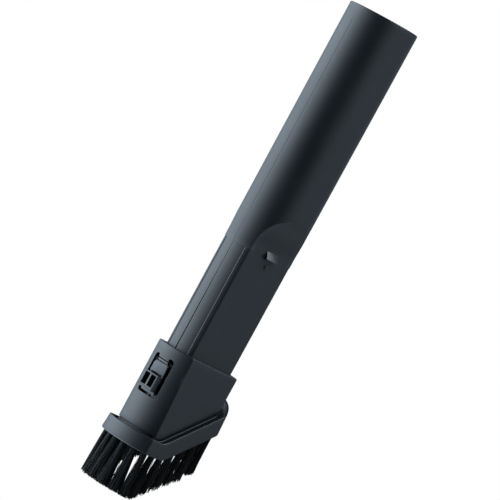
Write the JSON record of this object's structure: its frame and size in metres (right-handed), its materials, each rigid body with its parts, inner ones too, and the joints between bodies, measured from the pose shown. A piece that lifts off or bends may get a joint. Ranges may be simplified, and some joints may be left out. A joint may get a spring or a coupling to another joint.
{
  "type": "vacuum crevice nozzle with sliding dusting brush",
  "caption": "Round hose socket running into a flat-sided crevice nozzle, with a slant-mouthed dusting brush that slides along it and locks with a thumb latch.",
  "frame": {"origin": "centre of the hose socket's mouth, on the tube's axis", "axes": "+Z along the tool out of the hose socket, -X towards the narrow side with the thumb latch, -Y and +Y towards the two flat sides"},
  "size_m": [0.0542, 0.039, 0.2787],
  "materials": {
    "charcoal_plastic": "fine satin moulded surface, dark blue-grey",
    "latch_plastic": "satin moulded surface, dark blue-grey",
    "bristle": "black nylon bristle with a soft sheen",
    "spring_steel": "bright drawn wire"
  },
  "bodies": {
    "tube": {"socket_tube": "charcoal_plastic", "nozzle_front_shell": "charcoal_plastic", "nozzle_back_shell": "charcoal_plastic"},
    "brush_head": {"brush_sleeve": "charcoal_plastic", "bristle_flange": "charcoal_plastic", "button_pin": "spring_steel", "tuft_anchors": "spring_steel", "tuft_nose_1": "bristle", "tuft_nose_2": "bristle", "tuft_nose_3": "bristle", "tuft_nose_4": "bristle", "tuft_heel_1": "bristle", "tuft_heel_2": "bristle", "tuft_heel_3": "bristle", "tuft_heel_4": "bristle", "tuft_corner_1": "bristle", "tuft_corner_2": "bristle", "tuft_corner_3": "bristle", "tuft_corner_4": "bristle", "tuft_front_1": "bristle", "tuft_front_2": "bristle", "tuft_front_3": "bristle", "tuft_front_4": "bristle", "tuft_front_5": "bristle", "tuft_back_1": "bristle", "tuft_back_2": "bristle", "tuft_back_3": "bristle", "tuft_back_4": "bristle", "tuft_back_5": "bristle"},
    "button": {"release_button": "latch_plastic", "button_spring": "spring_steel"}
  },
  "joints": [
    {"name": "brush_slide", "type": "slide", "parent": "tube", "child": "brush_head", "axis": [0, 0, 1], "range_m": [0, 0.0615]},
    {"name": "button_press", "type": "hinge", "parent": "brush_head", "child": "button", "pos_m": [-0.02, 0, -0.2085], "axis": [0, -1, 0], "range_deg": [0, 6], "stiffness_Nm_per_rad": 0.2, "springref_deg": -8.59}
  ]
}
